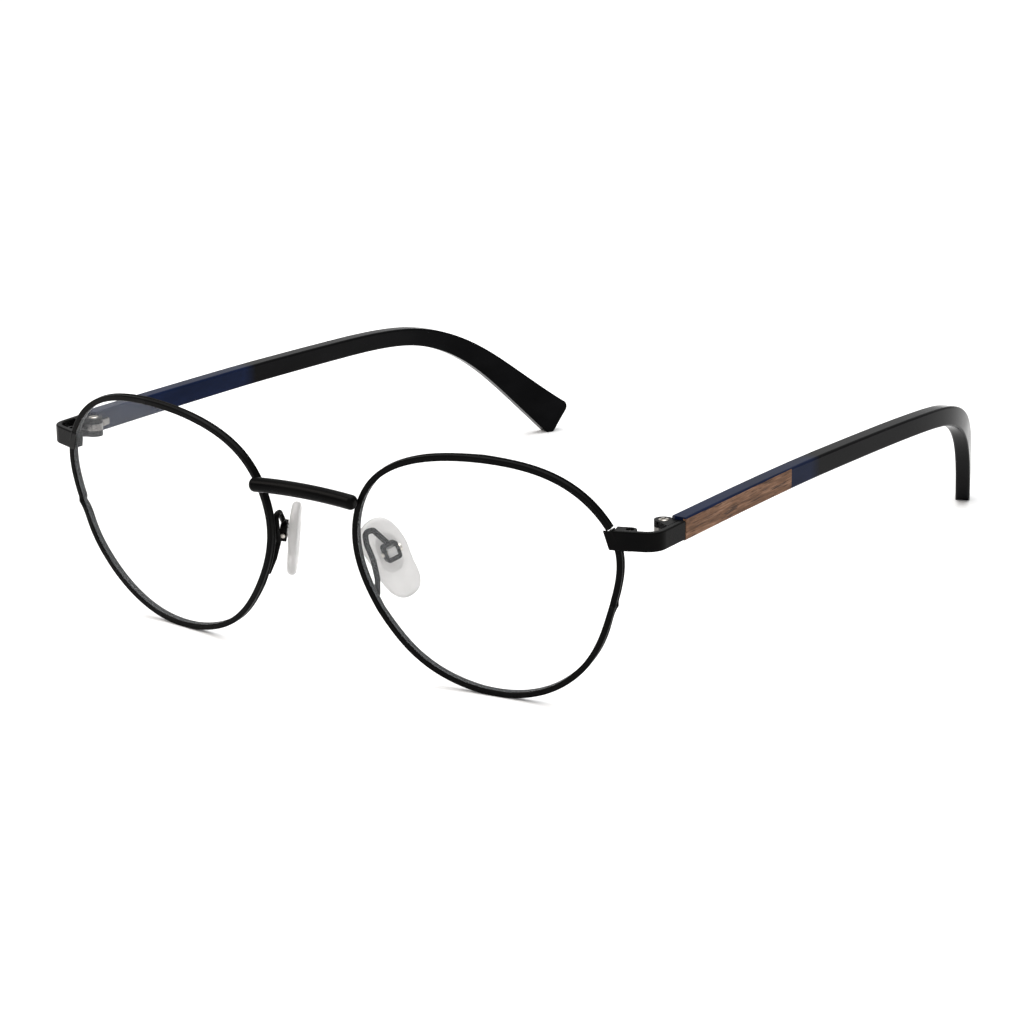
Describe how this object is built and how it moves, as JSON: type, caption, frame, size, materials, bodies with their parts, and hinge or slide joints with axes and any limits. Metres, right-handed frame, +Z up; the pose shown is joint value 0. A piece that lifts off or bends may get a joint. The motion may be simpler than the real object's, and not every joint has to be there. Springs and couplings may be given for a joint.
{
  "type": "spectacle frame",
  "caption": "Round full-rim metal eyeglasses with clear lenses, soft nose pads and folding acetate temples inlaid with wood.",
  "frame": {"origin": "middle of the footprint with the temples open, on the surface that the rims and the temple tips rest on", "axes": "+Z up, the lenses face -Y, the temples run back along +Y, +X is the wearer's left side"},
  "size_m": [0.1276, 0.1594, 0.0433],
  "materials": {
    "black_enamel": "semi-gloss",
    "nickel": "bright",
    "lens": "clear polished",
    "acetate": "polished, navy at the front fading to black",
    "veneer": "open-grained walnut, satin",
    "silicone": "translucent, satin",
    "pad_core": "plain"
  },
  "bodies": {
    "front": {"bridge": "black_enamel", "left_rim": "black_enamel", "left_lens": "lens", "left_end_piece": "black_enamel", "left_rim_lock_upper": "black_enamel", "left_rim_lock_lower": "black_enamel", "left_rim_screw": "nickel", "left_hinge_screw": "nickel", "left_pad_arm": "black_enamel", "left_pad_screw": "nickel", "right_rim": "black_enamel", "right_lens": "lens", "right_end_piece": "black_enamel", "right_rim_lock_upper": "black_enamel", "right_rim_lock_lower": "black_enamel", "right_rim_screw": "nickel", "right_hinge_screw": "nickel", "right_pad_arm": "black_enamel", "right_pad_screw": "nickel"},
    "left_temple": {"left_temple_hinge_leaf": "nickel", "left_temple_core_wire": "nickel", "left_temple_arm": "acetate", "left_wood_inlay": "veneer"},
    "left_pad": {"left_pad_insert": "pad_core", "left_nose_pad": "silicone"},
    "right_temple": {"right_temple_hinge_leaf": "nickel", "right_temple_core_wire": "nickel", "right_temple_arm": "acetate", "right_wood_inlay": "veneer"},
    "right_pad": {"right_pad_insert": "pad_core", "right_nose_pad": "silicone"}
  },
  "joints": [
    {"name": "left_temple_fold", "type": "hinge", "parent": "front", "child": "left_temple", "pos_m": [0.0603, -0.06174, 0.0312], "axis": [0, 0, 1], "range_deg": [0, 91]},
    {"name": "right_temple_fold", "type": "hinge", "parent": "front", "child": "right_temple", "pos_m": [-0.0603, -0.06174, 0.0312], "axis": [0, 0, -1], "range_deg": [0, 85]},
    {"name": "left_pad_rock", "type": "hinge", "parent": "front", "child": "left_pad", "pos_m": [0.01137, -0.06911, 0.02122], "axis": [0.4665, 0.8272, 0.3132], "range_deg": [-5, 5]},
    {"name": "right_pad_rock", "type": "hinge", "parent": "front", "child": "right_pad", "pos_m": [-0.01137, -0.06911, 0.02122], "axis": [0.4665, -0.8272, -0.3132], "range_deg": [-5, 5]}
  ]
}
